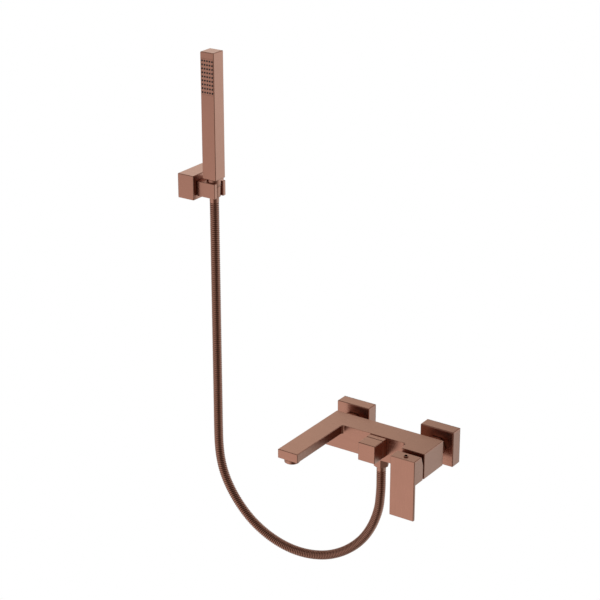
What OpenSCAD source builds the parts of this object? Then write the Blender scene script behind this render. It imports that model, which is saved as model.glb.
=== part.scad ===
// Wall mounted bath and shower mixer with hand shower, hose and wall holder.
// X runs along the wall, Y runs into the wall, Z is up, all in millimetres.
// The origin lies on the wall surface, midway between the two water inlets.

/* [Inlets] */
// Distance between the two water inlets
inlet_spacing = 150; // [140:1:160]
// Side of the square wall flanges
flange_side = 58.2; // [50:0.1:60]
// Depth of the wall flanges
flange_depth = 21; // [20:0.5:21.5]
// Radius of the pipe thread that goes into the wall
wall_thread_r = 10.48; // [9:0.01:12]
// Length of the thread that goes into the wall
wall_thread_len = 15; // [10:1:20]

/* [Mixer body] */
// Left end of the body
body_left = -94.5; // [-96:0.5:-92]
// Right end of the body
body_right = 96; // [95:0.5:100]
// Height of the body
body_h = 41.5; // [40:0.5:46]
// Back face of the body, measured from the wall
body_back = -37; // [-38:0.5:-37]
// Front face of the body, measured from the wall
body_front = -77; // [-80:0.5:-77]
// Front face of the block that holds the cartridge
block_front = -93; // [-93.5:0.5:-93]

/* [Spout] */
// Width of the spout
spout_w = 35.4; // [32:0.1:40]
// Thickness of the spout
spout_h = 14.4; // [14:0.1:16]
// Tip of the spout, measured from the wall
spout_tip = -199; // [-220:1:-195]
// Radius of the aerator ring
aerator_r = 11.8; // [11:0.1:12]
// How far the aerator stands below the spout
aerator_drop = 6.5; // [4:0.1:8]

/* [Handle] */
// Width of the handle
handle_w = 41.8; // [38:0.1:42]
// Front face of the handle, measured from the wall
handle_front = -121.6; // [-124:0.1:-121]
// Top of the handle
handle_top = 19.4; // [18:0.1:20]
// Lower tip of the lever
lever_tip = -79; // [-90:1:-60]
// Thickness of the lever plate
lever_t = 4.8; // [4:0.1:6]

/* [Diverter] */
// Side of the square diverter knob
knob_side = 29.6; // [26:0.1:30]
// Centre of the diverter, along the wall
diverter_x = 5.8; // [4:0.1:8]
// Centre of the diverter, height
diverter_z = 4.8; // [4:0.1:5]
// Front face of the diverter knob
knob_front = -111; // [-114:0.5:-108]
// Front face of the fixed collar behind the knob
collar_front = -87; // [-88:0.5:-86]

/* [Hand shower] */
// Side of the square hand shower
handset_side = 24.8; // [23:0.1:25]
// Length of the hand shower
handset_len = 200; // [180:1:220]
// Height of the lower end of the hand shower
handset_z = 365.2; // [365:0.1:366]
// Distance of the hose and hand shower from the wall
hose_y = -57; // [-58:0.5:-56]
// Axis of the hand shower along the wall
handset_x = -309.6; // [-310:0.1:-309]
// Outer radius of the shower hose
hose_r = 7.4; // [6.5:0.1:7.4]

/* [Wall holder] */
// Width of the wall bracket
bracket_w = 30.2; // [26:0.1:31]
// Right face of the wall bracket
bracket_right = -332.6; // [-334:0.1:-332]
// Bottom of the wall bracket
bracket_low = 330.3; // [328:0.1:331]
// Top of the wall bracket
bracket_top = 369.8; // [369:0.1:374]
// Depth of the wall bracket, from the wall
bracket_depth = 79.5; // [78:0.5:86]
// Depth of the holder fork, front to back
fork_depth = 28.7; // [28:0.1:32]
// Lower face of the holder fork
fork_low = 336.1; // [335:0.1:336.5]
// Upper face of the holder fork
fork_top = 360.4; // [360:0.1:361]

/* [Hidden] */
$fn = 48;
eps = 0.01;
cut = 1;
slide_fit = 0.05;
body_z = body_h / 2;
inlet_x = inlet_spacing / 2;
flange_front = -flange_depth;

// Union between the wall connector and the mixer
connector_r = 13.2;
connector_bore = 7.5;
connector_end = -27.5;
washer_t = 2;
nipple_collar_t = 2.5;
nipple_collar_r = 12.8;
nipple_neck_r = 10;
nipple_thread_r = 10.3;
nipple_bore = 7;
nipple_thread_len = 9.5;
inlet_socket_len = 10;
nut_across = 30;
nut_chamfer = 1.6;
nut_back = -22.5;
nut_front = -34.5;
nut_lip = 2.5;
union_washer_r = 12.6;
flange_wall = 2;
flange_boss_wall = 2.6;
flange_boss_back = -9;

// Check valves in the inlets
valve_front = body_back - 8;
valve_end = body_back + 2;
valve_sleeve_bore = 6;
valve_disc_r = 3.8;
valve_disc_t = 2;
valve_stem_r = 1.2;
valve_arm = [13, 1.6, 1.2];

// Cartridge, whose axis runs through the centre of the handle
cart_x = 75;
cart_z = 0;
cart_r = 13;
cart_bore = 12.2;
cart_floor = -60;
cart_front = -85;
cart_nut_r = 15;
cart_nut_bore = 10.5;
port_r = 2.8;
port_offset = 4.5;
pivot_y = -90;
pin_r = 1.5;
pin_half = 8.4;
ball_y = -81.8;
ball_r = 2.2;
ball_neck_r = 1.3;
stem_r = 4;
stem_tip = -115;
stem_half_x = 4.2;
dome_r = 14.5;
dome_wall = 1.6;
dome_front = -99.5;
dome_gap = 0.5;
disc_r = 12;
disc_t = 4;
seal_t = 1;
base_t = 3;
sleeve_back = cart_floor - seal_t - base_t;
disc_front = sleeve_back - disc_t;
moving_disc_r = 8.2;
moving_disc_t = 3;
carrier_plate_t = 3;
carrier_r = 5.2;
carrier_front = pivot_y + 6;
rotor_skirt_back = -77;
rotor_front = -94.5;
hot_port = [cart_x - port_offset, -7];
cold_port = [cart_x + port_offset, -7];
mixed_port = [cart_x, 6.5];

// Handle: a cap with a slanted back over the cartridge, and the lever below it
cap_back = -95.8;
cap_back_top = -101;
cap_slant_z = 4;
screw_y = -111.5;
screw_r = 2.5;
screw_cap_r = 3.6;
screw_cap_h = 1.7;
screw_key_r = 2.2;
screw_key_depth = 2.2;

// Waterways inside the body
gallery_r = 3;
port_drill_r = 2.4;
well_r = 5;
well_depth = 6;
hot_run = [-43, -13.5];
mixed_run = [-55.5, 11];
spout_run = [-69, 13];
channel_z = [10, 17];
channel_half = 12;
hot_end = 59;
block_left = 56.5;
block_left_back = 54;
corner_r = 4;
spout_x = body_left + spout_w / 2;
spout_low = body_z - spout_h;
aerator_y = -186.8;
aerator_low = spout_low - aerator_drop;
aerator_edge = 0.8;
aerator_bore = 8.6;
aerator_thread_len = 4.6;
aerator_socket_r = 10.05;
aerator_socket_top = spout_low + 6.4;
aerator_washer_bore = 8;
insert_r = 8.55;
insert_low = aerator_low + 1.2;
insert_h = 5;
insert_pitch = 2.6;
insert_hole_r = 0.95;

// Diverter
valve_r = 10;
valve_back = -62;
valve_bore = 6.5;
valve_shoulder = -75;
valve_tip = -84;
spindle_r = 4;
spindle_tip = -105;
drum_back = -63;
drum_front = -74.5;
drum_bore = 3;
spout_gate = [-69, 3];
spout_gate_r = 2.6;
hose_gate_y = -68;
o_ring_t = 1.4;
o_ring_depth = 0.9;
o_ring_y = [-80, -77];
knob_gap = 0.3;
knob_socket_r = 8;
knob_socket_front = -91;
knob_grub_y = -99;
knob_grub_r = 2;
knob_grub_sink = 2.5;
knob_key_r = 1.1;
collar_gap = 0.4;

// Hose ends
outlet_thread_r = 9;
outlet_top = -9.5;
outlet_bore = 5.5;
hose_thread_r = 9.9;
hose_nut_across = 22;
hose_nut_turn = -6;
hose_nut_low = -40.1;
hose_nut_low_r = 8.2;
hose_nut_edge = -37;
hose_nut_top = -21.8;
hose_washer_low = -35.5;
hose_washer_top = -33.5;
hose_washer_r = 9.6;
ferrule_bore = 4.5;
ferrule_head_low = -37.5;
ferrule_r = 7.35;
hose_start = -47.5;
hose_end = 326;
cone_low = 326.2;
cone_low_r = 7.25;
cone_neck_r = 7.6;
cone_shoulder = 336.2;
cone_shoulder_r = 10;
cone_step = 353.2;
cone_top_r = 10.3;
cone_groove = 0.8;
cone_groove_r = 9.9;
cone_collar_r = 11;
collar_low = cone_step + cone_groove;
cone_bore = 6.7;
cone_bore_top = 355;
cone_edge = 0.6;
cone_chamfer = 1.2;
tail_head_low = 355.2;
tail_head_t = 2;
tail_head_r = 9.7;
top_washer_low = 357.3;
top_washer_top = 359.2;
top_bore = 5;
nipple_top = 378;

// Spray face of the hand shower
wall_t = 1.5;
solid_end = 16;
panel_w = 21.6;
panel_low = handset_z + handset_len - 66;
panel_top = handset_z + handset_len - 9.8;
nozzle_cols = 5;
nozzle_rows = 9;
nozzle_pitch_x = 4.6;
nozzle_pitch_z = 6.1;
nozzle_r = 1.35;
handset_front = hose_y - handset_side / 2;
handset_back = hose_y + handset_side / 2;
panel_t = 1.4;
panel_gap = 0.1;
mat_gap = 0.4;
mat_t = 3;
nozzle_stand = 0.5;
chamber_wall = 1.4;
chamber_margin = 2;
tube_bore = 3.5;
tube_r = 5;

// Wall bracket and holder
bracket_left = bracket_right - bracket_w;
bracket_x = bracket_right - bracket_w / 2;
bracket_wall = 2.5;
washer_gap = 0.4;
fork_left = bracket_right + washer_gap;
fork_right = -298.1;
fork_z = (fork_low + fork_top) / 2;
slot_w = 15.5;
seat_gap = 0.3;
pivot_r = 3;
pivot_tip = bracket_right + 8;
pivot_head_r = 5.4;
pivot_head_t = 3.5;
pivot_key_r = 2.6;
spring_r = 5;
spring_t = 1;
friction_r = 9;
plate_t = 12;
plate_gap = 0.2;
screw_pitch = 22;
screw_hole_r = 2.3;
screw_head_r = 4.5;
screw_head_t = 3;
lock_y = -6;
lock_r = 2;
lock_len = 5.2;
lock_key_r = 1.1;

// Route of the hose centre line, from the mixer up to the holder, as [x, z]
route = [
    [0, -47.5], [0, -60], [0, -76], [-1, -94], [-3, -112], [-9, -134], [-18, -155],
    [-31, -176], [-49, -196], [-72, -214], [-99, -228], [-130, -236.5], [-161, -238.5],
    [-192, -234], [-221, -223.5], [-248, -207], [-270, -186], [-287, -163], [-299, -139],
    [-306, -114], [-309, -88], [-309.6, -60], [-309.6, -25], [-309.6, 30], [-309.6, 100],
    [-309.6, 180], [-309.6, 260], [-309.6, 310], [-309.6, 326]
];
hose_sides = 12;

copper = [0.62, 0.40, 0.33];
brass = [0.72, 0.60, 0.32];
dark_plastic = [0.12, 0.12, 0.13];
white_plastic = [0.90, 0.90, 0.88];
ceramic_white = [0.95, 0.94, 0.92];
rubber_black = [0.08, 0.08, 0.08];
fibre = [0.45, 0.30, 0.22];
steel = [0.62, 0.63, 0.65];

// A straight block between two corners
module block(low, high) {
    translate(low) cube(high - low);
}

// Cylinders that run along Y, X and Z, between two stations on their axis
module rod_y(r, front, back, x = 0, z = 0) {
    translate([x, back, z]) rotate([90, 0, 0]) cylinder(r = r, h = back - front);
}

module rod_x(r, left, right, y = 0, z = 0) {
    translate([left, y, z]) rotate([0, 90, 0]) cylinder(r = r, h = right - left);
}

module rod_z(r, low, high, x = 0, y = 0) {
    translate([x, y, low]) cylinder(r = r, h = high - low);
}

// A ring that runs along Z
module ring_z(outer, inner, low, high, x = 0, y = 0) {
    difference() {
        rod_z(outer, low, high, x, y);
        rod_z(inner, low - cut, high + cut, x, y);
    }
}

// A ring that runs along Y
module ring_y(outer, inner, front, back, x = 0, z = 0) {
    difference() {
        rod_y(outer, front, back, x, z);
        rod_y(inner, front - cut, back + cut, x, z);
    }
}

// A drilled waterway between two points
module drill(a, b, r) {
    v = b - a;
    len = norm(v);
    translate(a)
        rotate([0, acos(v[2] / len), atan2(v[1], v[0])])
            cylinder(r = r, h = len);
}

// A hexagonal bar along Y
module hex_y(across, front, back, x, z) {
    translate([x, back, z])
        rotate([90, 0, 0])
            cylinder(r = across / 2 / cos(30), h = back - front, $fn = 6);
}

// ---------------------------------------------------------------- inlets

module wall_connector(x) {
    color(brass) difference() {
        union() {
            rod_y(wall_thread_r, -eps, wall_thread_len, x);
            rod_y(connector_r, connector_end, 0, x);
        }
        rod_y(connector_bore, connector_end - cut, wall_thread_len + cut, x);
    }
}

module flange(x) {
    half = flange_side / 2;
    inner = half - flange_wall;
    color(copper) difference() {
        union() {
            difference() {
                block([x - half, flange_front, -half], [x + half, 0, half]);
                block([x - inner, flange_front + flange_wall, -inner], [x + inner, cut, inner]);
            }
            rod_y(connector_r + flange_boss_wall, flange_front, flange_boss_back, x);
        }
        rod_y(connector_r + slide_fit, flange_front - cut, cut, x);
    }
}

module union_nut(x) {
    color(copper) difference() {
        intersection() {
            hex_y(nut_across, nut_front, nut_back, x, 0);
            rod_y(nut_across / 2 + nut_chamfer, nut_front, nut_back, x);
        }
        rod_y(connector_r + slide_fit, nut_front + nut_lip, nut_back + cut, x);
        rod_y(nipple_neck_r + slide_fit, nut_front - cut, nut_back + cut, x);
    }
}

module union_washer(x) {
    color(fibre)
        ring_y(union_washer_r, connector_bore, connector_end - washer_t, connector_end, x);
}

module inlet_nipple(x) {
    collar_back = connector_end - washer_t;
    color(brass) difference() {
        union() {
            rod_y(nipple_thread_r, body_back - nipple_thread_len, body_back + eps, x);
            rod_y(nipple_neck_r, body_back, collar_back - cut, x);
            rod_y(nipple_collar_r, collar_back - nipple_collar_t, collar_back, x);
        }
        rod_y(nipple_bore, body_back - nipple_thread_len - cut, collar_back + cut, x);
    }
}

// A spring loaded disc in a short sleeve, so that water can't flow back
module check_valve(x) {
    disc_front = valve_front + valve_disc_t;
    color(white_plastic) {
        ring_y(nipple_bore, valve_sleeve_bore, valve_front, valve_end, x);
        rod_y(valve_disc_r, disc_front, disc_front + valve_disc_t, x);
        rod_y(valve_stem_r, disc_front + cut, valve_end, x);
        for (turn = [0, 90])
            translate([x, valve_end - valve_stem_r, 0])
                rotate([0, turn, 0])
                    cube(valve_arm, center = true);
    }
}

// ------------------------------------------------------------ mixer body

// Rounds the inner corner between the front of the bar and a side face at x
module inner_corner(x) {
    r = corner_r;
    difference() {
        translate([x - cut, body_front - r]) square([r + cut, r + cut]);
        translate([x + r, body_front - r]) circle(r = r);
    }
}

// Outline of the bar and of the cartridge block, seen from above
module body_outline() {
    polygon([
        [body_left, body_back], [body_right, body_back], [body_right, block_front],
        [block_left, block_front], [block_left_back, body_front - corner_r],
        [block_left_back, body_front], [body_left, body_front]
    ]);
    mirror([1, 0]) inner_corner(-block_left_back);
}

// Outline of the spout, seen from above
module spout_outline() {
    inner = body_left + spout_w;
    translate([body_left, spout_tip]) square([spout_w, body_front - spout_tip + cut]);
    inner_corner(inner);
}

// The pockets that take the cartridge, the diverter and the three ends
module body_pockets() {
    for (x = [-inlet_x, inlet_x])
        rod_y(nipple_thread_r, body_back - inlet_socket_len, body_back + cut, x);
    rod_y(cart_nut_r, block_front - cut, cart_front, cart_x, cart_z);
    rod_y(cart_r, block_front - cut, cart_floor, cart_x, cart_z);
    rod_y(valve_r, body_front - cut, valve_back, diverter_x, diverter_z);
    rod_z(outlet_thread_r, -body_z - cut, outlet_top + eps, 0, hose_y);
    rod_z(aerator_socket_r, spout_low - cut, aerator_socket_top, spout_x, aerator_y);
}

// Hot, cold and mixed water channels
module body_waterways() {
    port_y = cart_floor - 0.5;
    well_back = body_back - inlet_socket_len + cut;
    mixed = [mixed_port[0], mixed_run[0], mixed_run[1]];
    rod_y(well_r, well_back - well_depth, well_back, inlet_x);
    drill([-inlet_x, hot_run[0], -4], [-inlet_x, hot_run[0], hot_run[1]], gallery_r);
    rod_x(gallery_r, -inlet_x, hot_end + cut, hot_run[0], hot_run[1]);
    drill([hot_end, hot_run[0], hot_run[1]], [hot_port[0], port_y, hot_port[1]], port_drill_r);
    drill([inlet_x, well_back - well_r, 0], [cold_port[0], port_y, cold_port[1]], port_drill_r);
    drill([mixed_port[0], port_y, mixed_port[1]], mixed, port_drill_r);
    rod_x(gallery_r, diverter_x, cart_x, mixed_run[0], mixed_run[1]);
    rod_y(gallery_r, valve_back - cut, mixed_run[0], diverter_x, mixed_run[1] - 2);
    rod_x(gallery_r, spout_x, 1, spout_run[0], spout_run[1]);
    block([spout_x - channel_half, aerator_y + aerator_r, channel_z[0]],
          [spout_x + channel_half, spout_run[0] + well_r, channel_z[1]]);
    block([spout_x - well_r, aerator_y - well_r, aerator_socket_top - eps],
          [spout_x + well_r, aerator_y + aerator_r + cut, channel_z[1]]);
    drill([diverter_x, hose_gate_y + 2, -4], [0, hose_y, -10], gallery_r);
}

module mixer_body() {
    color(copper) difference() {
        union() {
            translate([0, 0, -body_z]) linear_extrude(body_h) body_outline();
            translate([0, 0, spout_low]) linear_extrude(spout_h) spout_outline();
        }
        body_pockets();
        body_waterways();
    }
}

// ---------------------------------------------------------------- aerator

module aerator_housing() {
    thread_top = spout_low + aerator_thread_len;
    color(copper) difference() {
        union() {
            rod_z(aerator_r, aerator_low + aerator_edge, spout_low, spout_x, aerator_y);
            translate([spout_x, aerator_y, aerator_low])
                cylinder(r1 = aerator_r - aerator_edge, r2 = aerator_r, h = aerator_edge);
            rod_z(aerator_socket_r - slide_fit, spout_low - cut, thread_top, spout_x, aerator_y);
        }
        rod_z(aerator_bore, aerator_low - cut, thread_top + cut, spout_x, aerator_y);
    }
}

module aerator_insert() {
    top = insert_low + insert_h;
    color(white_plastic) difference() {
        rod_z(insert_r, insert_low, top, spout_x, aerator_y);
        for (ix = [-2:2], iy = [-2:2])
            if (norm([ix, iy]) < 2.5)
                translate([ix, iy, 0] * insert_pitch)
                    rod_z(insert_hole_r, insert_low - cut, top + cut, spout_x, aerator_y, $fn = 16);
    }
}

module aerator_washer() {
    low = spout_low + aerator_thread_len;
    outer = aerator_socket_r - 2 * slide_fit;
    color(rubber_black)
        ring_z(outer, aerator_washer_bore, low, aerator_socket_top, spout_x, aerator_y);
}

// -------------------------------------------------------------- cartridge

// The three water ports that every fixed cartridge piece carries
module ports(front, back) {
    for (p = [hot_port, cold_port, mixed_port])
        rod_y(port_r, front, back, p[0], p[1]);
}

module cartridge_base_seal() {
    front = cart_floor - seal_t;
    color(rubber_black) difference() {
        rod_y(cart_r - 0.4, front, cart_floor, cart_x, cart_z);
        ports(front - cut, cart_floor + cut);
    }
}

module cartridge_base() {
    color(white_plastic) difference() {
        rod_y(cart_r, sleeve_back, cart_floor - seal_t, cart_x, cart_z);
        ports(sleeve_back - cut, cart_floor);
    }
}

module cartridge_sleeve() {
    color(white_plastic)
        ring_y(cart_r, cart_bore, cart_front, sleeve_back, cart_x, cart_z);
}

module fixed_ceramic_disc() {
    color(ceramic_white) difference() {
        rod_y(disc_r, disc_front, sleeve_back, cart_x, cart_z);
        ports(disc_front - cut, sleeve_back + cut);
    }
}

// The disc that slides over the ports, with a hollow that joins them
module moving_ceramic_disc() {
    front = disc_front - moving_disc_t;
    color(ceramic_white) difference() {
        rod_y(moving_disc_r, front, disc_front, cart_x, cart_z);
        rod_y(5, front + moving_disc_t / 2, disc_front + cut, cart_x, cart_z + 1);
    }
}

// Pushes the moving disc up and down when the lever lifts
module disc_carrier() {
    back = disc_front - moving_disc_t;
    plate_front = back - carrier_plate_t;
    color(dark_plastic) difference() {
        union() {
            rod_y(moving_disc_r, plate_front, back, cart_x, cart_z);
            rod_y(carrier_r, carrier_front, plate_front + cut, cart_x, cart_z);
        }
        rod_y(ball_r + 0.35, carrier_front - cut, ball_y + 4, cart_x, cart_z);
    }
}

// Turns inside the sleeve and carries the lever on a cross pin
module cartridge_rotor() {
    pocket = [5.5, 9.2];
    slot_half = 4.4;
    slot_z = [-5, 7.4];
    shoulder = cart_front + 0.2;
    pocket_front = cart_front + 0.8;
    color(dark_plastic) difference() {
        union() {
            rod_y(cart_bore - 0.08, shoulder, rotor_skirt_back, cart_x, cart_z);
            rod_y(cart_nut_bore - 0.3, rotor_front, cart_front + 0.5, cart_x, cart_z);
        }
        block([cart_x - pocket[0], pocket_front, -pocket[1]],
              [cart_x + pocket[0], rotor_skirt_back + cut, pocket[1]]);
        block([cart_x - slot_half, rotor_front - cut, slot_z[0]],
              [cart_x + slot_half, pocket_front + cut, slot_z[1]]);
        rod_x(pin_r, cart_x - pin_half - eps, cart_x + pin_half + eps, pivot_y, 0);
    }
}

module lever_pin() {
    color(steel) rod_x(pin_r, cart_x - pin_half, cart_x + pin_half, pivot_y, 0);
}

module cartridge_lever() {
    color(steel) difference() {
        union() {
            rod_y(stem_r, stem_tip, pivot_y, cart_x, cart_z);
            rod_x(stem_r, cart_x - stem_half_x, cart_x + stem_half_x, pivot_y, 0);
            rod_y(ball_neck_r, pivot_y, ball_y, cart_x, cart_z);
            translate([cart_x, ball_y, cart_z]) sphere(r = ball_r);
        }
        rod_x(pin_r + slide_fit, cart_x - stem_half_x - cut, cart_x + stem_half_x + cut, pivot_y, 0);
    }
}

// Threaded ring that clamps the cartridge, with four notches for its key
module cartridge_nut() {
    notch = [12.2, 14];
    notch_half = 1.2;
    notch_depth = 3;
    color(brass) difference() {
        rod_y(cart_nut_r, block_front, cart_front, cart_x, cart_z);
        rod_y(cart_nut_bore, block_front - cut, cart_front + cut, cart_x, cart_z);
        for (turn = [45:90:315])
            translate([cart_x, block_front, cart_z])
                rotate([0, turn, 0])
                    block([notch[0], -cut, -notch_half], [notch[1], notch_depth, notch_half]);
    }
}

// Round trim ring, part of a ball centred on the lift pivot
module dome_ring() {
    color(copper) difference() {
        intersection() {
            translate([cart_x, pivot_y, cart_z]) sphere(r = dome_r, $fn = 64);
            rod_y(dome_r + cut, dome_front, block_front, cart_x, cart_z);
        }
        translate([cart_x, pivot_y, cart_z]) sphere(r = dome_r - dome_wall, $fn = 64);
        rod_y(cart_nut_bore + 0.1, dome_front - cut, block_front + cut, cart_x, cart_z);
    }
}

// ----------------------------------------------------------------- handle

// Side outline of the handle
module handle_outline() {
    plate_back = handle_front + lever_t;
    polygon([
        [handle_front, handle_top], [cap_back_top, handle_top], [cap_back, cap_slant_z],
        [cap_back, -body_z], [plate_back, -body_z], [plate_back, lever_tip],
        [handle_front, lever_tip]
    ]);
}

module handle() {
    left = cart_x - handle_w / 2;
    color(copper) difference() {
        translate([left, 0, 0])
            rotate([90, 0, 90])
                linear_extrude(handle_w) handle_outline();
        translate([cart_x, pivot_y, cart_z]) sphere(r = dome_r + dome_gap, $fn = 64);
        rod_y(stem_r, stem_tip - 0.2, pivot_y, cart_x, cart_z);
        rod_z(screw_r, 0, handle_top + cut, cart_x, screw_y);
    }
}

// Screw that holds the handle on its lever, with a low cap above the handle
module handle_screw() {
    top = handle_top + screw_cap_h;
    color(copper) difference() {
        union() {
            rod_z(screw_r, stem_r, handle_top + eps, cart_x, screw_y);
            rod_z(screw_cap_r, handle_top, top, cart_x, screw_y);
        }
        translate([cart_x, screw_y, top - screw_key_depth])
            cylinder(r = screw_key_r, h = screw_key_depth + cut, $fn = 6);
    }
}

// --------------------------------------------------------------- diverter

// A square bar on the diverter axis
module knob_bar(front, back, side) {
    block([diverter_x - side / 2, front, diverter_z - side / 2],
          [diverter_x + side / 2, back, diverter_z + side / 2]);
}

module diverter_collar() {
    color(copper) difference() {
        knob_bar(collar_front, body_front, knob_side);
        rod_y(valve_r + collar_gap, collar_front - cut, body_front + cut, diverter_x, diverter_z);
    }
}

module diverter_valve_body() {
    gate_y = spout_gate[0];
    gate_z = diverter_z + spout_gate[1];
    color(brass) difference() {
        rod_y(valve_r, valve_tip, valve_back, diverter_x, diverter_z);
        rod_y(valve_bore, valve_shoulder, valve_back + cut, diverter_x, diverter_z);
        rod_y(spindle_r + slide_fit, valve_tip - cut, valve_shoulder + cut, diverter_x, diverter_z);
        rod_x(spout_gate_r, diverter_x - valve_r - cut, diverter_x, gate_y, gate_z);
        rod_z(spout_gate_r, diverter_z - valve_r - cut, diverter_z, diverter_x, hose_gate_y);
    }
}

// The rings that seal the spindle
module spindle_rings(outer) {
    for (y = o_ring_y)
        ring_y(outer, spindle_r - o_ring_depth, y, y + o_ring_t, diverter_x, diverter_z);
}

// Spindle and drum, whose cross hole sends water to the spout or to the hose
module diverter_drum() {
    gate_z = diverter_z + spout_gate[1];
    color(brass) difference() {
        union() {
            rod_y(valve_bore - slide_fit, drum_front, drum_back, diverter_x, diverter_z);
            rod_y(spindle_r, spindle_tip, drum_front, diverter_x, diverter_z);
        }
        rod_y(drum_bore, hose_gate_y - drum_bore, drum_back + cut, diverter_x, diverter_z);
        rod_x(port_drill_r, diverter_x - valve_bore - cut, diverter_x, spout_gate[0], gate_z);
        spindle_rings(spindle_r + cut);
    }
}

module diverter_o_rings() {
    color(rubber_black) spindle_rings(spindle_r);
}

module diverter_knob() {
    back = collar_front - knob_gap;
    low = diverter_z - knob_side / 2;
    color(copper) difference() {
        knob_bar(knob_front, back, knob_side);
        rod_y(spindle_r, spindle_tip - 0.2, back + cut, diverter_x, diverter_z);
        rod_y(knob_socket_r, knob_socket_front, back + cut, diverter_x, diverter_z);
        rod_z(knob_grub_r + slide_fit, low - cut, diverter_z, diverter_x, knob_grub_y);
    }
}

module knob_grub_screw() {
    low = diverter_z - knob_side / 2 + knob_grub_sink;
    color(steel) difference() {
        rod_z(knob_grub_r, low, diverter_z - spindle_r, diverter_x, knob_grub_y);
        translate([diverter_x, knob_grub_y, low - 2])
            cylinder(r = knob_key_r, h = 4, $fn = 6);
    }
}

// -------------------------------------------------------------- hose ends

// Threaded outlet below the body, with a thin flange above the hose nut
module outlet_nipple() {
    flange_r = hose_nut_across / 2 - 0.6;
    flange_low = hose_nut_top + 0.3;
    color(copper) difference() {
        union() {
            rod_z(outlet_thread_r, -body_z - eps, outlet_top, 0, hose_y);
            rod_z(flange_r, flange_low, -body_z, 0, hose_y);
            rod_z(hose_thread_r, hose_washer_top, -body_z - cut, 0, hose_y);
        }
        rod_z(outlet_bore, hose_washer_top - cut, outlet_top + cut, 0, hose_y);
    }
}

// Hexagonal nut that narrows to the hose at its lower end
module hose_nut() {
    corner = hose_nut_across / 2 / cos(30);
    color(copper) difference() {
        intersection() {
            translate([0, hose_y, hose_nut_low])
                rotate([0, 0, hose_nut_turn])
                    cylinder(r = corner, h = hose_nut_top - hose_nut_low, $fn = 6);
            translate([0, hose_y, 0]) rotate_extrude() polygon([
                [0, hose_nut_low - cut], [hose_nut_low_r, hose_nut_low - cut],
                [corner + cut, hose_nut_edge], [corner + cut, hose_nut_top + cut],
                [0, hose_nut_top + cut],
            ]);
        }
        rod_z(hose_thread_r, ferrule_head_low, hose_nut_top + cut, 0, hose_y);
        rod_z(ferrule_r + 0.1, hose_nut_low - cut, hose_washer_low, 0, hose_y);
    }
}

module lower_hose_washer() {
    color(rubber_black)
        ring_z(hose_washer_r, outlet_bore, hose_washer_low, hose_washer_top, 0, hose_y);
}

module lower_ferrule() {
    color(copper) difference() {
        union() {
            rod_z(hose_washer_r, ferrule_head_low, hose_washer_low, 0, hose_y);
            rod_z(ferrule_r, hose_start, ferrule_head_low + cut, 0, hose_y);
        }
        rod_z(ferrule_bore, hose_start - cut, hose_washer_low + cut, 0, hose_y);
    }
}

// Corners of one ring of the hose, square to the route at point i
function route_dir(i) =
    let (a = route[max(i - 1, 0)], b = route[min(i + 1, len(route) - 1)])
    (i == 0 || i == len(route) - 1) ? [0, 1] * (i == 0 ? -1 : 1) : (b - a) / norm(b - a);

function hose_ring(i) =
    let (d = route_dir(i), p = route[i])
    [for (k = [0:hose_sides - 1])
        let (a = k * 360 / hose_sides, s = hose_r * cos(a))
        [p[0] - d[1] * s, hose_y + hose_r * sin(a), p[1] + d[0] * s]];

module shower_hose() {
    rings = len(route);
    n = hose_sides;
    points = [for (i = [0:rings - 1]) each hose_ring(i)];
    walls = [for (i = [0:rings - 2], k = [0:n - 1])
        let (a = i * n + k, b = i * n + (k + 1) % n)
        [a, b, b + n, a + n]];
    start_cap = [[for (k = [n - 1:-1:0]) k]];
    end_cap = [[for (k = [0:n - 1]) (rings - 1) * n + k]];
    color(copper) polyhedron(points = points, faces = concat(walls, start_cap, end_cap));
}

module upper_ferrule() {
    color(copper) difference() {
        union() {
            rod_z(cone_bore - 0.1, hose_end, tail_head_low + cut, handset_x, hose_y);
            rod_z(tail_head_r, tail_head_low, tail_head_low + tail_head_t, handset_x, hose_y);
        }
        rod_z(ferrule_bore, hose_end - cut, tail_head_low + tail_head_t + cut, handset_x, hose_y);
    }
}

module upper_hose_washer() {
    color(rubber_black)
        ring_z(hose_washer_r, top_bore, top_washer_low, top_washer_top, handset_x, hose_y);
}

// Conical nut that joins the hose to the hand shower and rests in the fork
module cone_nut() {
    mouth_r = hose_thread_r + cone_edge;
    color(copper) translate([handset_x, hose_y, 0]) difference() {
        union() {
            translate([0, 0, cone_low])
                cylinder(r1 = cone_low_r, r2 = cone_neck_r, h = cone_shoulder - cone_low);
            translate([0, 0, cone_shoulder])
                cylinder(r1 = cone_shoulder_r, r2 = cone_top_r, h = cone_step - cone_shoulder);
            rod_z(cone_groove_r, cone_step - cut, collar_low + cut);
            rod_z(cone_collar_r, collar_low, handset_z);
        }
        rod_z(cone_bore, cone_low - cut, handset_z);
        rod_z(hose_thread_r, cone_bore_top, handset_z + cut);
        translate([0, 0, handset_z - cone_chamfer])
            cylinder(r1 = hose_thread_r, r2 = mouth_r, h = cone_chamfer + eps);
    }
}

// ------------------------------------------------------------ hand shower

module handset_nipple() {
    color(brass) ring_z(hose_thread_r, top_bore, top_washer_top, nipple_top, handset_x, hose_y);
}

module handset_bar(low, high, side) {
    block([handset_x - side / 2, hose_y - side / 2, low],
          [handset_x + side / 2, hose_y + side / 2, high]);
}

module handset_body() {
    top = handset_z + handset_len;
    inner = handset_side - 2 * wall_t;
    solid_top = handset_z + solid_end;
    color(copper) difference() {
        handset_bar(handset_z, top, handset_side);
        handset_bar(solid_top, top - wall_t, inner);
        rod_z(hose_thread_r, handset_z - cut, solid_top + cut, handset_x, hose_y);
        block([handset_x - panel_w / 2, handset_front - cut, panel_low],
              [handset_x + panel_w / 2, handset_front + wall_t + cut, panel_top]);
    }
}

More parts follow.
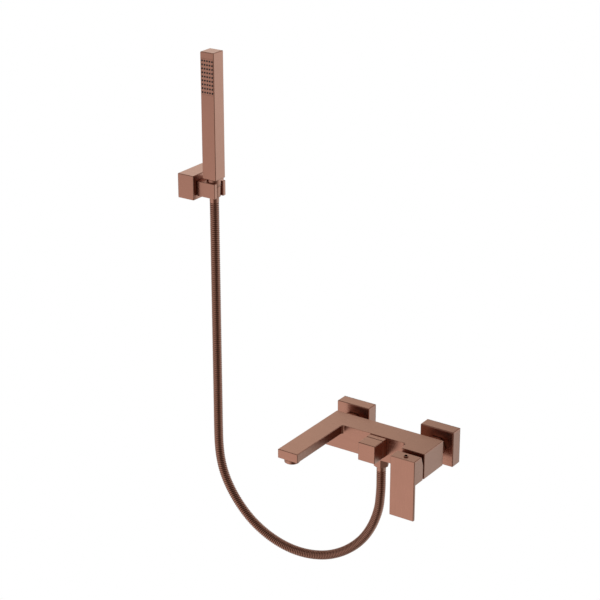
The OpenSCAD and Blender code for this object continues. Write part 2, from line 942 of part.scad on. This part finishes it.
// Places a child at each spray nozzle
module at_nozzles() {
    first_z = panel_top - (panel_top - panel_low - (nozzle_rows - 1) * nozzle_pitch_z) / 2;
    for (col = [0:nozzle_cols - 1], row = [0:nozzle_rows - 1])
        translate([handset_x + (col - (nozzle_cols - 1) / 2) * nozzle_pitch_x,
                   handset_front, first_z - row * nozzle_pitch_z])
            children();
}

// A block behind the spray opening, smaller than it by a gap on every side
module panel_block(front, back, gap) {
    block([handset_x - panel_w / 2 + gap, handset_front + front, panel_low + gap],
          [handset_x + panel_w / 2 - gap, handset_front + back, panel_top - gap]);
}

module spray_face() {
    color(copper) difference() {
        panel_block(0, panel_t, panel_gap);
        at_nozzles() rod_y(nozzle_r, -cut, panel_t + cut, $fn = 16);
    }
}

module nozzle_mat() {
    color(rubber_black) {
        panel_block(panel_t, mat_t, mat_gap);
        at_nozzles() rod_y(nozzle_r - slide_fit, -nozzle_stand, panel_t + eps, $fn = 16);
    }
}

// Box behind the nozzles that spreads the water
module spray_chamber() {
    front = handset_front + mat_t;
    back = handset_back - wall_t - chamber_margin;
    half = panel_w / 2 - mat_gap;
    inner = half - chamber_wall;
    low = panel_low - chamber_margin;
    top = panel_top + chamber_margin;
    color(white_plastic) difference() {
        block([handset_x - half, front, low], [handset_x + half, back, top]);
        block([handset_x - inner, front - cut, low + 2 * chamber_margin],
              [handset_x + inner, back - chamber_wall, top - 2 * chamber_margin]);
        rod_z(tube_bore, low - cut, low + 2 * chamber_margin + cut, handset_x, hose_y);
    }
}

module water_tube() {
    color(white_plastic)
        ring_z(tube_r, tube_bore, nipple_top, panel_low - chamber_margin, handset_x, hose_y);
}

// ------------------------------------------------------------ wall holder

// A block inside the bracket, inset from its outer faces
module bracket_bar(front, back, inset) {
    block([bracket_left + inset, front, bracket_low + inset],
          [bracket_right - inset, back, bracket_top - inset]);
}

// Places a child at each of the two screw holes
module at_wall_screws() {
    middle = (bracket_low + bracket_top) / 2;
    for (side = [-1, 1])
        translate([bracket_x, 0, middle + side * screw_pitch / 2]) children();
}

// Plate that two screws hold to the wall, and that the bracket slides over
module wall_plate() {
    lock_top = bracket_low + lock_len + 0.4;
    color(steel) difference() {
        bracket_bar(-plate_t, 0, bracket_wall + plate_gap);
        at_wall_screws() {
            rod_y(screw_hole_r, -plate_t - cut, cut);
            rod_y(screw_head_r, -plate_t - cut, -plate_t + screw_head_t);
        }
        rod_z(lock_r, bracket_low, lock_top, bracket_x, lock_y);
    }
}

module bracket_body() {
    hole_left = bracket_right - bracket_wall - cut;
    color(copper) difference() {
        bracket_bar(-bracket_depth, 0, 0);
        bracket_bar(-bracket_depth + bracket_wall, cut, bracket_wall);
        rod_x(pivot_r + slide_fit, hole_left, bracket_right + cut, hose_y, fork_z);
        rod_z(lock_r, bracket_low - cut, bracket_low + bracket_wall + cut, bracket_x, lock_y);
    }
}

// Locks the bracket onto the wall plate from below
module bracket_grub_screw() {
    low = bracket_low + 0.2;
    color(steel) difference() {
        rod_z(lock_r, low, low + lock_len, bracket_x, lock_y);
        translate([bracket_x, lock_y, low - cut]) cylinder(r = lock_key_r, h = 3.4, $fn = 6);
    }
}

// A ring along X on the pivot axis of the holder
module pivot_ring(outer, left, right) {
    difference() {
        rod_x(outer, left, right, hose_y, fork_z);
        rod_x(pivot_r + slide_fit, left - cut, right + cut, hose_y, fork_z);
    }
}

module friction_washer() {
    color(white_plastic) pivot_ring(friction_r, bracket_right, fork_left);
}

module pivot_spring_washer() {
    inner_face = bracket_right - bracket_wall;
    color(steel) pivot_ring(spring_r, inner_face - spring_t, inner_face);
}

module pivot_screw() {
    head_face = bracket_right - bracket_wall - spring_t;
    head_left = head_face - pivot_head_t;
    color(steel) difference() {
        union() {
            rod_x(pivot_r, head_face - eps, pivot_tip, hose_y, fork_z);
            rod_x(pivot_head_r, head_left, head_face, hose_y, fork_z);
        }
        translate([head_left - cut, hose_y, fork_z])
            rotate([0, 90, 0]) cylinder(r = pivot_key_r, h = 3, $fn = 6);
    }
}

// Fork with a conical seat for the hose nut and a slot that the hose passes
module holder_fork() {
    seat_top = collar_low - seat_gap;
    color(copper) difference() {
        block([fork_left, hose_y - fork_depth / 2, fork_low],
              [fork_right, hose_y + fork_depth / 2, fork_top]);
        translate([handset_x, hose_y, fork_low - eps])
            cylinder(r1 = cone_shoulder_r + seat_gap, r2 = cone_top_r + seat_gap,
                     h = seat_top - fork_low + 2 * eps);
        rod_z(cone_collar_r + seat_gap, seat_top, fork_top + cut, handset_x, hose_y);
        block([handset_x, hose_y - slot_w / 2, fork_low - cut],
              [fork_right + cut, hose_y + slot_w / 2, fork_top + cut]);
        rod_x(pivot_r + slide_fit, fork_left - cut, pivot_tip + 0.2, hose_y, fork_z);
    }
}

wall_connector(-inlet_x);  // left_wall_connector
wall_connector(inlet_x);  // right_wall_connector
flange(-inlet_x);  // left_flange
flange(inlet_x);  // right_flange
union_nut(-inlet_x);  // left_union_nut
union_nut(inlet_x);  // right_union_nut
union_washer(-inlet_x);  // left_union_washer
union_washer(inlet_x);  // right_union_washer
inlet_nipple(-inlet_x);  // left_inlet_nipple
inlet_nipple(inlet_x);  // right_inlet_nipple
check_valve(-inlet_x);  // left_check_valve
check_valve(inlet_x);  // right_check_valve
mixer_body();
aerator_housing();
aerator_insert();
aerator_washer();
cartridge_base_seal();
cartridge_base();
cartridge_sleeve();
fixed_ceramic_disc();
moving_ceramic_disc();
disc_carrier();
cartridge_rotor();
lever_pin();
cartridge_lever();
cartridge_nut();
dome_ring();
handle();
handle_screw();
diverter_collar();
diverter_valve_body();
diverter_drum();
diverter_o_rings();
diverter_knob();
knob_grub_screw();
outlet_nipple();
hose_nut();
lower_hose_washer();
lower_ferrule();
shower_hose();
upper_ferrule();
upper_hose_washer();
cone_nut();
handset_nipple();
handset_body();
spray_face();
nozzle_mat();
spray_chamber();
water_tube();
wall_plate();
bracket_body();
bracket_grub_screw();
friction_washer();
holder_fork();
pivot_screw();
pivot_spring_washer();
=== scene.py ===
"""Looks of the wall mounted bath mixer with hand shower: camera, hose, materials and studio light."""

import math

import bpy
import numpy as np
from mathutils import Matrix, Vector


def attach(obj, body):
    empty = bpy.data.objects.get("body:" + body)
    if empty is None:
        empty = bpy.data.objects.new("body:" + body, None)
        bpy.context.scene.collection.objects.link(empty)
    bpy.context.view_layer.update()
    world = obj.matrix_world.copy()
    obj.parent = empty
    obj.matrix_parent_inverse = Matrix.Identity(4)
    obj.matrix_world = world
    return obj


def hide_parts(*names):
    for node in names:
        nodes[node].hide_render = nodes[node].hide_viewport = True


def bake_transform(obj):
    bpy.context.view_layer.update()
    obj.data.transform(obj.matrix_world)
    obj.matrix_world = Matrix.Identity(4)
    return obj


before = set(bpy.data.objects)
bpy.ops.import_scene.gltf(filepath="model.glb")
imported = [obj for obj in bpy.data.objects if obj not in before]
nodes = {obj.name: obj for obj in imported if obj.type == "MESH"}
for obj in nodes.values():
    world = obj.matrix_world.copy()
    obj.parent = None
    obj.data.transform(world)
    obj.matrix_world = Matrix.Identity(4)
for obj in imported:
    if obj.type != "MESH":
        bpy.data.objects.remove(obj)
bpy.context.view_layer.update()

# ------------------------------------------------------------------ camera

CAMERA_AT = Vector((1.30269, -2.20971, 1.24591))
CAMERA_BACK = Vector((0.5189, -0.7688, 0.3738))

camera_data = bpy.data.cameras.new("camera")
camera_data.sensor_width = 36.0
camera_data.lens = 110.2
camera_data.clip_start = 0.05
camera_data.clip_end = 100.0
camera = bpy.data.objects.new("camera", camera_data)
camera.location = CAMERA_AT
camera.rotation_mode = "QUATERNION"
camera.rotation_quaternion = (-CAMERA_BACK).to_track_quat("-Z", "Y")
bpy.context.scene.collection.objects.link(camera)
bpy.context.scene.camera = camera

# -------------------------------------------------------------------- hose

HANGING_X = -0.3096  # the axis of the hand shower and of the hose below it
HOSE_Y = -0.057  # the plane that the whole hose hangs in
HOSE_RADIUS = 0.0074
RIB_PITCH = 0.00335
RIB_DEPTH = 0.0011
GROOVE_SHARPNESS = 2.2
SPAN_SAMPLES = 24

# x and z of the centre line in mm, from the lower ferrule to the holder
ROUTE = [
    (0, -47.5), (0, -60), (0, -76), (-1, -94), (-3, -112), (-9, -134), (-18, -155),
    (-31, -176), (-49, -196), (-72, -214), (-99, -228), (-130, -236.5), (-161, -238.5),
    (-192, -234), (-221, -223.5), (-248, -207), (-270, -186), (-287, -163), (-299, -139),
    (-306, -114), (-309, -88), (-309.6, -60), (-309.6, -25), (-309.6, 30), (-309.6, 100),
    (-309.6, 180), (-309.6, 260), (-309.6, 310), (-309.6, 326),
]
TAIL_LOW = 0.2785
TAIL_TOP = 0.326
TAIL_RADIUS = 0.0061

HOSE_SIDES = 28
TAIL_SIDES = 28
RINGS_PER_RIB = 9


def distance_along(line):
    """Distance of each point of a line from its start."""
    return np.concatenate([[0], np.cumsum(np.linalg.norm(np.diff(line, axis=0), axis=1))])


def smooth_route(points, step):
    """Centre line through the route points, in metres, sampled every step, and its length.

    It is a centripetal Catmull-Rom spline, which keeps clear of loops where points lie close.
    """
    p = [np.array((x / 1000, HOSE_Y, z / 1000)) for x, z in points]
    p = [2 * p[0] - p[1]] + p + [2 * p[-1] - p[-2]]
    line = []
    for a, b, c, d in zip(p, p[1:], p[2:], p[3:]):
        ta = 0.0
        tb = ta + np.linalg.norm(b - a) ** 0.5
        tc = tb + np.linalg.norm(c - b) ** 0.5
        td = tc + np.linalg.norm(d - c) ** 0.5
        for t in np.linspace(tb, tc, SPAN_SAMPLES, endpoint=False):
            ab = ((tb - t) * a + (t - ta) * b) / (tb - ta)
            bc = ((tc - t) * b + (t - tb) * c) / (tc - tb)
            cd = ((td - t) * c + (t - tc) * d) / (td - tc)
            abc = ((tc - t) * ab + (t - ta) * bc) / (tc - ta)
            bcd = ((td - t) * bc + (t - tb) * cd) / (td - tb)
            line.append(((tc - t) * abc + (t - tb) * bcd) / (tc - tb))
    line.append(p[-2])
    line = np.array(line)
    along = distance_along(line)
    even = np.linspace(0, along[-1], int(round(along[-1] / step)) + 1)
    return np.stack([np.interp(even, along, line[:, k]) for k in range(3)], axis=1), along[-1]


def groove_depth(phase):
    """How deep the wound strip lies at a phase of its turn: 0 on the band, 1 in the groove."""
    return (0.5 - 0.5 * np.cos(2 * math.pi * phase)) ** GROOVE_SHARPNESS


def tube_faces(rings, sides):
    """Faces of a closed tube whose two end points follow the points of its rings."""
    faces = []
    for i in range(rings - 1):
        for j in range(sides):
            k = (j + 1) % sides
            faces.append((i * sides + j, i * sides + k, (i + 1) * sides + k, (i + 1) * sides + j))
    first, last = rings * sides, rings * sides + 1
    for j in range(sides):
        k = (j + 1) % sides
        faces.append((first, k, j))
        faces.append((last, (rings - 1) * sides + j, (rings - 1) * sides + k))
    return faces


def wound_tube(name, line, radius, sides):
    """Spiral wound tube along a line that lies in the plane of the hose.

    Its point attribute "groove" tells the material how deep in the groove each point lies, and the
    material paints shade into the grooves by it.
    """
    line = np.array(line)
    tangent = np.gradient(line, axis=0)
    tangent /= np.linalg.norm(tangent, axis=1)[:, None]
    side = np.array((0.0, 1.0, 0.0))
    out = np.cross(tangent, side)
    angle = np.linspace(0, 2 * math.pi, sides, endpoint=False)
    turns = distance_along(line)[:, None] / RIB_PITCH + angle[None, :] / (2 * math.pi)
    groove = groove_depth(turns)
    r = radius - RIB_DEPTH * groove
    ring = (
        line[:, None, :]
        + (r * np.cos(angle))[:, :, None] * side
        + (r * np.sin(angle))[:, :, None] * out[:, None, :]
    )
    verts = [tuple(v) for v in ring.reshape(-1, 3)] + [tuple(line[0]), tuple(line[-1])]
    mesh = bpy.data.meshes.new(name)
    mesh.from_pydata(verts, [], tube_faces(len(line), sides))
    mesh.validate()
    mesh.update()
    for polygon in mesh.polygons:
        polygon.use_smooth = True
    groove_shade_mask = mesh.attributes.new("groove", "FLOAT", "POINT")
    groove_shade_mask.data.foreach_set("value", np.append(groove.ravel(), (1.0, 1.0)).astype(np.float32))
    tube = bpy.data.objects.new(name, mesh)
    bpy.context.scene.collection.objects.link(tube)
    return tube


hose_step = RIB_PITCH / RINGS_PER_RIB
hose_line, hose_length = smooth_route(ROUTE, hose_step)
hose = wound_tube("hose_winding", hose_line, HOSE_RADIUS, HOSE_SIDES)
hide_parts("shower_hose")
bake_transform(hose)

# The last bit of hose, which the hand shower pulls up out of the holder
tail_line = [(HANGING_X, HOSE_Y, z) for z in np.arange(TAIL_LOW, TAIL_TOP + 1e-6, hose_step)]
tail = wound_tube("hose_top_end", tail_line, TAIL_RADIUS, TAIL_SIDES)
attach(tail, "hose_tail")

# --------------------------------------------------------------- materials

# Sockets of the Mix node when it mixes colours
MIX_FACTOR, MIX_FIRST, MIX_SECOND, MIX_RESULT = 0, 6, 7, 2

COPPER = (0.43, 0.208, 0.150)
# Painted shade: the dark brown that the grooves of the hose are coloured, in place of the shade that
# falls in them
PAINTED_GROOVE_SHADE = (0.14, 0.056, 0.032)


def scaled(colour, factor):
    return tuple(c * factor for c in colour)


class Nodes:
    """A node tree, with short ways to add and join nodes."""

    def __init__(self, tree):
        self.tree = tree

    def node(self, kind, **settings):
        made = self.tree.nodes.new(kind)
        for key, value in settings.items():
            setattr(made, key, value)
        return made

    def link(self, a, b):
        self.tree.links.new(a, b)

    def map_range(self, value, start, end, low=0.0, high=1.0, curve="LINEAR"):
        """Maps start to end onto low to high."""
        made = self.node("ShaderNodeMapRange", interpolation_type=curve)
        made.inputs["From Min"].default_value = start
        made.inputs["From Max"].default_value = end
        made.inputs["To Min"].default_value = low
        made.inputs["To Max"].default_value = high
        self.link(value, made.inputs["Value"])
        return made.outputs["Result"]

    def mix(self, factor, first, second):
        """Mixes two colours, each of them fixed or the output of a node."""
        made = self.node("ShaderNodeMix", data_type="RGBA")
        self.link(factor, made.inputs[MIX_FACTOR])
        for socket, colour in ((MIX_FIRST, first), (MIX_SECOND, second)):
            if isinstance(colour, tuple):
                made.inputs[socket].default_value = (*colour, 1)
            else:
                self.link(colour, made.inputs[socket])
        return made.outputs[MIX_RESULT]


class Shader(Nodes):
    """A new material with its noises and its Principled BSDF."""

    def __init__(self, name, metallic=0.0):
        self.material = bpy.data.materials.new(name)
        self.material.use_nodes = True
        super().__init__(self.material.node_tree)
        self.bsdf = self.tree.nodes["Principled BSDF"]
        self.bsdf.inputs["Metallic"].default_value = metallic

    def noise(self, scale, stretch=(1, 1, 1), detail=2.0):
        source = self.node("ShaderNodeTexCoord")
        mapping = self.node("ShaderNodeMapping")
        mapping.inputs["Scale"].default_value = stretch
        self.link(source.outputs["Object"], mapping.inputs["Vector"])
        made = self.node("ShaderNodeTexNoise")
        made.inputs["Scale"].default_value = scale
        made.inputs["Detail"].default_value = detail
        self.link(mapping.outputs["Vector"], made.inputs["Vector"])
        return made.outputs["Fac"]

    def spread(self, noise, low, high):
        """Maps the middle of a noise to the range low to high."""
        return self.map_range(noise, 0.3, 0.7, low, high)

    def colour(self, factor, first, second):
        self.link(self.mix(factor, first, second), self.bsdf.inputs["Base Color"])

    def uneven_colour(self, noise, colour, fleck):
        """Colour that the noise makes lighter and darker by a share called fleck."""
        self.colour(self.spread(noise, 0, 1), scaled(colour, 1 - fleck), scaled(colour, 1 + fleck))

    def roughness(self, noise, low, high):
        self.link(self.spread(noise, low, high), self.bsdf.inputs["Roughness"])

    def bump(self, height, strength, distance):
        made = self.node("ShaderNodeBump")
        made.inputs["Strength"].default_value = strength
        made.inputs["Distance"].default_value = distance
        self.link(height, made.inputs["Height"])
        self.link(made.outputs["Normal"], self.bsdf.inputs["Normal"])


def copper(name, along):
    """Satin copper with a fine brushed grain that runs along one axis."""
    s = Shader(name, metallic=1.0)
    stretch = [1.0, 1.0, 1.0]
    stretch["xyz".index(along)] = 0.035
    grain = s.noise(1500, stretch)
    s.uneven_colour(s.noise(38), COPPER, fleck=0.015)
    s.roughness(grain, 0.27, 0.34)
    s.bump(grain, 0.02, 0.00002)
    return s.material


def wound_copper(name):
    """Copper of the hose, with painted shade down in the grooves between the turns of the strip, which
    turns it darker and browner there.
    """
    s = Shader(name, metallic=1.0)
    groove_shade_mask = s.node("ShaderNodeAttribute", attribute_name="groove")
    # Painted shade: the deeper a point lies in a groove, the more its colour goes from copper to the dark
    # brown
    s.colour(groove_shade_mask.outputs["Fac"], COPPER, PAINTED_GROOVE_SHADE)
    s.roughness(s.noise(120), 0.19, 0.25)
    return s.material


def plain(name, colour, roughness, metallic=0.0, fleck=0.03, bump=0.0):
    """A single colour with a slight unevenness of tone and gloss."""
    s = Shader(name, metallic)
    noise = s.noise(900, detail=3)
    s.uneven_colour(noise, colour, fleck)
    s.roughness(noise, roughness - 0.03, roughness + 0.03)
    if bump:
        s.bump(noise, bump, 0.0001)
    return s.material


copper_x = copper("copper_satin_x", "x")
copper_z = copper("copper_satin_z", "z")
copper_hose = wound_copper("copper_hose")
looks = {
    "brass_raw": plain("brass_raw", (0.60, 0.42, 0.17), 0.35, metallic=1.0, bump=0.1),
    "fibre_washer": plain("fibre_washer", (0.20, 0.10, 0.06), 0.8, fleck=0.2, bump=0.3),
    "white_plastic": plain("white_plastic", (0.78, 0.78, 0.76), 0.4),
    "dark_plastic": plain("dark_plastic", (0.03, 0.03, 0.032), 0.45),
    "black_rubber": plain("black_rubber", (0.018, 0.018, 0.018), 0.65, fleck=0.1, bump=0.1),
    "white_ceramic": plain("white_ceramic", (0.82, 0.81, 0.78), 0.12),
    "steel": plain("steel", (0.56, 0.56, 0.57), 0.28, metallic=1.0),
    "copper_hose": copper_hose,
}

# Nodes whose grain runs up and down. On the other copper nodes it runs from side to side.
GRAIN_UPRIGHT = {"handset_body", "handle", "cone_nut", "holder_fork", "hose_nut", "spray_face"}

for name, part in nodes.items():
    slot = part.data.materials[0].name
    if slot == "copper_satin":
        material = copper_z if name in GRAIN_UPRIGHT else copper_x
    else:
        material = looks[slot]
    part.data.materials.clear()
    part.data.materials.append(material)

for piece in (hose, tail):
    piece.data.materials.append(copper_hose)

# ------------------------------------------------------------ edge rounding

# Width of the rounding on each node, in mm
EDGE = {
    "mixer_body": 1.1, "handle": 1.2, "handset_body": 1.3, "diverter_knob": 1.2,
    "diverter_collar": 0.7, "left_flange": 1.6, "right_flange": 1.6, "bracket_body": 1.2,
    "holder_fork": 1.2, "left_union_nut": 0.6, "right_union_nut": 0.6, "hose_nut": 0.5,
    "cone_nut": 0.3, "handle_screw": 0.4, "aerator_housing": 0.4, "dome_ring": 0.3,
    "upper_ferrule": 0.3, "lower_ferrule": 0.3, "spray_face": 0.3,
}

BODY_HALF_HEIGHT = 0.02075
SPOUT_UNDERSIDE = 0.00635
SPOUT_START_Y = -0.0765
AERATOR_X, AERATOR_Y = -0.0768, -0.1868
AERATOR_CLEAR = 0.0135
OUTLET_CLEAR = 0.012
ON_PLANE = 0.00002
HANDSET_CORNER = 0.01235  # just inside the corners of the 25 mm square


def body_corner(at):
    """Is a point of the mixer body on its outer shell, away from the waterways?"""
    on_shell = abs(at.z) > BODY_HALF_HEIGHT - ON_PLANE
    under_spout = abs(at.z - SPOUT_UNDERSIDE) < ON_PLANE and at.y < SPOUT_START_Y
    near_aerator = math.hypot(at.x - AERATOR_X, at.y - AERATOR_Y) < AERATOR_CLEAR
    near_outlet = at.z < 0 and math.hypot(at.x, at.y - HOSE_Y) < OUTLET_CLEAR
    return (on_shell or under_spout) and not near_aerator and not near_outlet


def handset_corner(at):
    """Is a point of the hand shower one of its eight outer corners?"""
    return abs(at.x - HANGING_X) > HANDSET_CORNER and abs(at.y - HOSE_Y) > HANDSET_CORNER


CORNERS = {"mixer_body": body_corner, "handset_body": handset_corner}


def corner_group(part, wanted):
    """Vertex group of the wanted vertices, so that only the edges between them are rounded."""
    group = part.vertex_groups.new(name="outer_edges")
    group.add([v.index for v in part.data.vertices if wanted(v.co)], 1.0, "REPLACE")
    return group.name


def round_edges(name, width):
    """Joins the flat triangles of a node into faces and rounds the edges between them."""
    part = nodes[name]
    weld = part.modifiers.new("weld", "WELD")
    weld.merge_threshold = 0.00001
    flat = part.modifiers.new("flat", "DECIMATE")
    flat.decimate_type = "DISSOLVE"
    flat.angle_limit = math.radians(0.5)
    bevel = part.modifiers.new("bevel", "BEVEL")
    bevel.width = width
    bevel.segments = 3
    bevel.use_clamp_overlap = False
    bevel.miter_outer = "MITER_SHARP"
    bevel.harden_normals = True
    if name in CORNERS:
        bevel.limit_method = "VGROUP"
        bevel.vertex_group = corner_group(part, CORNERS[name])
    else:
        bevel.limit_method = "ANGLE"
        bevel.angle_limit = math.radians(35)


for name, millimetres in EDGE.items():
    round_edges(name, millimetres / 1000)

# ------------------------------------------------------------ studio light

# Light by compass direction, in degrees: 0 is straight out from the wall, toward -Y, and 90 is toward +X.
# A ring of it goes around the part at each height, from the floor up.
GROUND_LIGHT = [
    (-180, (0.70, 0.80, 0.82)), (-146, (0.60, 0.62, 0.60)), (-95, (0.70, 0.72, 0.70)),
    (-60, (0.93, 0.93, 0.92)), (-34, (1.10, 1.10, 1.09)), (-9, (1.02, 1.02, 1.02)),
    (14, (0.46, 0.43, 0.39)), (36, (0.11, 0.07, 0.05)), (56, (0.10, 0.06, 0.04)),
    (76, (0.22, 0.21, 0.20)), (98, (0.44, 0.46, 0.45)), (128, (0.62, 0.78, 0.80)),
    (146, (0.60, 0.76, 0.79)), (180, (0.70, 0.80, 0.82)),
]
LOW_LIGHT = [
    (-180, (0.80, 0.92, 0.95)), (-146, (0.60, 0.62, 0.60)), (-95, (0.45, 0.46, 0.45)),
    (-60, (0.72, 0.72, 0.72)), (-38, (0.98, 0.98, 0.99)), (-28, (1.00, 1.00, 1.01)),
    (-9, (0.92, 0.92, 0.92)), (14, (0.46, 0.43, 0.39)), (36, (0.11, 0.07, 0.05)),
    (56, (0.10, 0.06, 0.04)), (76, (0.30, 0.29, 0.28)), (98, (0.66, 0.70, 0.70)),
    (128, (1.20, 1.40, 1.46)), (146, (1.18, 1.36, 1.42)), (180, (0.80, 0.92, 0.95)),
]
HORIZON_LIGHT = [
    (-180, (0.80, 0.92, 0.95)), (-146, (0.60, 0.62, 0.60)), (-95, (0.42, 0.43, 0.42)),
    (-60, (0.56, 0.56, 0.56)), (-34, (0.66, 0.66, 0.68)), (-9, (0.72, 0.72, 0.72)),
    (14, (0.42, 0.39, 0.35)), (36, (0.11, 0.07, 0.05)), (56, (0.10, 0.06, 0.04)),
    (76, (0.30, 0.29, 0.28)), (98, (0.62, 0.66, 0.66)), (128, (1.14, 1.34, 1.40)),
    (146, (1.12, 1.30, 1.36)), (180, (0.80, 0.92, 0.95)),
]
HIGH_LIGHT = [
    (-180, (0.36, 0.40, 0.38)), (-154, (0.56, 0.60, 0.57)), (-149.5, (0.76, 0.78, 0.70)),
    (-146.5, (1.02, 1.05, 0.94)), (-143, (1.16, 1.15, 1.06)), (-135, (1.26, 1.28, 1.22)),
    (-90, (0.80, 0.80, 0.78)), (-34, (0.60, 0.60, 0.60)), (20, (0.40, 0.40, 0.40)),
    (60, (0.20, 0.20, 0.20)), (100, (0.45, 0.45, 0.45)), (140, (0.90, 0.92, 0.95)),
    (180, (0.30, 0.30, 0.28)),
]
STEEP_LIGHT = (0.10, 0.085, 0.075)
ZENITH_LIGHT = (0.62, 0.60, 0.58)

# Each next light, and the two heights of the direction's unit vector between which it comes in
LAYERS = [
    (LOW_LIGHT, -0.43, -0.31),
    (HORIZON_LIGHT, -0.32, -0.245),
    (HIGH_LIGHT, -0.12, 0.20),
    (STEEP_LIGHT, 0.50, 0.80),
    (ZENITH_LIGHT, 0.93, 0.99),
]

world = bpy.data.worlds.new("studio")
bpy.context.scene.world = world
world.use_nodes = True
world.node_tree.nodes.clear()
studio = Nodes(world.node_tree)

coordinate = studio.node("ShaderNodeTexCoord")
direction = studio.node("ShaderNodeSeparateXYZ")
studio.link(coordinate.outputs["Generated"], direction.inputs["Vector"])
minus_y = studio.node("ShaderNodeMath", operation="MULTIPLY")
minus_y.inputs[1].default_value = -1.0
studio.link(direction.outputs["Y"], minus_y.inputs[0])
turn = studio.node("ShaderNodeMath", operation="ARCTAN2")
studio.link(direction.outputs["X"], turn.inputs[0])
studio.link(minus_y.outputs[0], turn.inputs[1])
compass = studio.map_range(turn.outputs[0], -math.pi, math.pi)


def by_compass(stops):
    """Colour by compass direction, from stops of degrees and colour over the full turn."""
    ramp = studio.node("ShaderNodeValToRGB")
    elements = ramp.color_ramp.elements
    while len(elements) > 1:
        elements.remove(elements[-1])
    for index, (degrees, colour) in enumerate(stops):
        place = (degrees + 180) / 360
        element = elements[0] if index == 0 else elements.new(place)
        element.position = place
        element.color = (*colour, 1)
    studio.link(compass, ramp.inputs["Fac"])
    return ramp.outputs["Color"]


sky = by_compass(GROUND_LIGHT)
for stops_or_colour, start, end in LAYERS:
    reached = studio.map_range(direction.outputs["Z"], start, end, curve="SMOOTHSTEP")
    following = stops_or_colour
    if isinstance(stops_or_colour, list):
        following = by_compass(stops_or_colour)
    sky = studio.mix(reached, sky, following)

# The camera sees plain white behind the part
light = studio.node("ShaderNodeBackground")
studio.link(sky, light.inputs["Color"])
white = studio.node("ShaderNodeBackground")
white.inputs["Color"].default_value = (1, 1, 1, 1)
ray = studio.node("ShaderNodeLightPath")
choice = studio.node("ShaderNodeMixShader")
studio.link(ray.outputs["Is Camera Ray"], choice.inputs["Fac"])
studio.link(light.outputs[0], choice.inputs[1])
studio.link(white.outputs[0], choice.inputs[2])
output = studio.node("ShaderNodeOutputWorld")
studio.link(choice.outputs[0], output.inputs["Surface"])

# ------------------------------------------------------------------- floor

FLOOR_SIZE = 30
FLOOR_HEIGHT = -1.7  # low enough that the part can be looked at from below, too

bpy.ops.mesh.primitive_plane_add(size=FLOOR_SIZE, location=(0, 0, FLOOR_HEIGHT))
floor = bpy.context.object
floor.name = "floor"
floor_material = bpy.data.materials.new("floor")
floor_material.use_nodes = True
floor_material.node_tree.nodes.clear()
floor_nodes = Nodes(floor_material.node_tree)
floor_glow = floor_nodes.node("ShaderNodeEmission")
floor_output = floor_nodes.node("ShaderNodeOutputMaterial")
floor_nodes.link(floor_glow.outputs[0], floor_output.inputs["Surface"])
floor.data.materials.append(floor_material)
floor.visible_glossy = False
floor.visible_diffuse = False

bpy.context.scene.view_settings.view_transform = "Standard"
bpy.context.scene.view_settings.look = "None"
